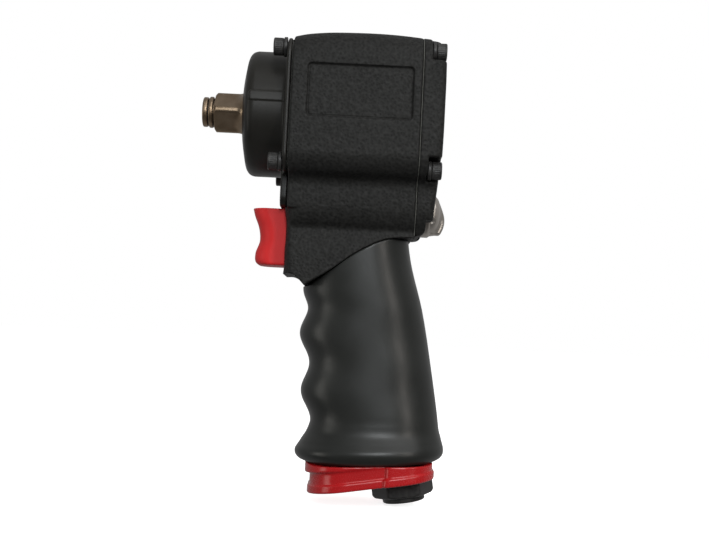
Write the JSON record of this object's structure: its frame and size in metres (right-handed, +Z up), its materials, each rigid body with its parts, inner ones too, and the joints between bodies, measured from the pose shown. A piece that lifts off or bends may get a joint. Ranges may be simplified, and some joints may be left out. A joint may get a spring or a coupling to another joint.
{
  "type": "impact wrench",
  "caption": "Compact pneumatic impact wrench: square drive in a round nose, boxy ribless barrel, pistol grip in a rubber sleeve, trigger, power dial and base air inlet.",
  "frame": {"origin": "centre of the anvil's front face, on the drive axis", "axes": "+X back along the drive axis, from the anvil to the rear cover; +Z up, away from the grip; +Y across, away from the side that faces the viewer in the rest view"},
  "size_m": [0.1052, 0.062, 0.1862],
  "materials": {
    "case_satin": "satin dark grey anodised die casting",
    "cast_black": "textured black powder coat on a die casting",
    "black_oxide": "bronze-black oxide on forged steel",
    "screw_black": "black oxide steel",
    "steel": "ground steel",
    "bronze": "sintered bronze",
    "zinc": "satin cast dial metal",
    "rubber": "satin black moulded rubber",
    "red_plastic": "red moulded plastic",
    "gasket_fibre": "compressed fibre gasket",
    "seal_rubber": "black nitrile seal",
    "vane_resin": "brown phenolic resin",
    "felt": "grey felt"
  },
  "bodies": {
    "housing": {"hammer_case": "case_satin", "anvil_bushing": "bronze", "case_gasket": "gasket_fibre", "case_screw_1": "screw_black", "case_screw_2": "screw_black", "case_screw_3": "screw_black", "case_screw_4": "screw_black", "front_end_plate": "steel", "rear_end_plate": "steel", "front_bearing_outer_ring": "steel", "rear_bearing_outer_ring": "steel", "cylinder_liner": "steel", "liner_dowel": "steel", "motor_housing": "cast_black", "rear_gasket": "gasket_fibre", "rear_cover": "cast_black", "cover_screw_1": "screw_black", "cover_screw_2": "screw_black", "cover_screw_3": "screw_black", "cover_screw_4": "screw_black", "throttle_bushing": "bronze", "throttle_spring": "steel", "reverse_bushing": "bronze", "detent_ball": "steel", "grip_sleeve": "rubber", "exhaust_cap": "red_plastic", "exhaust_muffler": "felt", "inlet_bushing": "screw_black", "inlet_screen": "steel", "inlet_seal": "seal_rubber"},
    "rotor": {"rotor": "steel", "rotor_vane_1": "vane_resin", "rotor_vane_2": "vane_resin", "rotor_vane_3": "vane_resin", "rotor_vane_4": "vane_resin", "rotor_vane_5": "vane_resin", "rotor_vane_6": "vane_resin", "hammer_cage": "steel", "dog_pivot_pin": "steel", "dog_stop_pin": "steel", "front_bearing_inner_ring": "steel", "rear_bearing_inner_ring": "steel"},
    "hammer_dog": {"hammer_dog": "black_oxide"},
    "anvil": {"anvil": "black_oxide", "socket_retainer": "black_oxide", "retainer_o_ring": "seal_rubber"},
    "front_balls": {"front_bearing_balls": "steel"},
    "rear_balls": {"rear_bearing_balls": "steel"},
    "trigger": {"trigger": "red_plastic", "trigger_rod": "steel"},
    "throttle_valve": {"throttle_valve": "seal_rubber"},
    "dial": {"reverse_dial": "zinc", "reverse_valve": "steel", "dial_pin": "steel"}
  },
  "joints": [
    {"name": "rotor_spin", "type": "hinge", "parent": "housing", "child": "rotor", "pos_m": [0.072, 0, 0], "axis": [1, 0, 0], "continuous": true},
    {"name": "anvil_spin", "type": "hinge", "parent": "housing", "child": "anvil", "pos_m": [0, 0, 0], "axis": [1, 0, 0], "continuous": true},
    {"name": "front_balls_roll", "type": "hinge", "parent": "housing", "child": "front_balls", "pos_m": [0.0574, 0, 0], "axis": [1, 0, 0], "continuous": true},
    {"name": "rear_balls_roll", "type": "hinge", "parent": "housing", "child": "rear_balls", "pos_m": [0.0878, 0, 0], "axis": [1, 0, 0], "continuous": true},
    {"name": "dog_rock", "type": "hinge", "parent": "rotor", "child": "hammer_dog", "pos_m": [0.0398, 0, 0.0164], "axis": [1, 0, 0], "range_deg": [-5, 5]},
    {"name": "trigger_pull", "type": "slide", "parent": "housing", "child": "trigger", "axis": [1, 0, 0], "range_m": [0, 0.006], "stiffness_N_per_m": 1500, "springref_m": -0.005, "deforming": ["throttle_spring"]},
    {"name": "throttle_lift", "type": "slide", "parent": "housing", "child": "throttle_valve", "axis": [1, 0, 0], "range_m": [0, 0.006]},
    {"name": "dial_turn", "type": "hinge", "parent": "housing", "child": "dial", "pos_m": [0.095, 0, -0.0383], "axis": [1, 0, 0], "range_deg": [-50, 50]}
  ],
  "couplings": [
    {"joint": "anvil_spin", "follows": "rotor_spin", "ratio": 1},
    {"joint": "front_balls_roll", "follows": "rotor_spin", "ratio": 0.42},
    {"joint": "rear_balls_roll", "follows": "rotor_spin", "ratio": 0.42},
    {"joint": "throttle_lift", "follows": "trigger_pull", "ratio": 1}
  ]
}
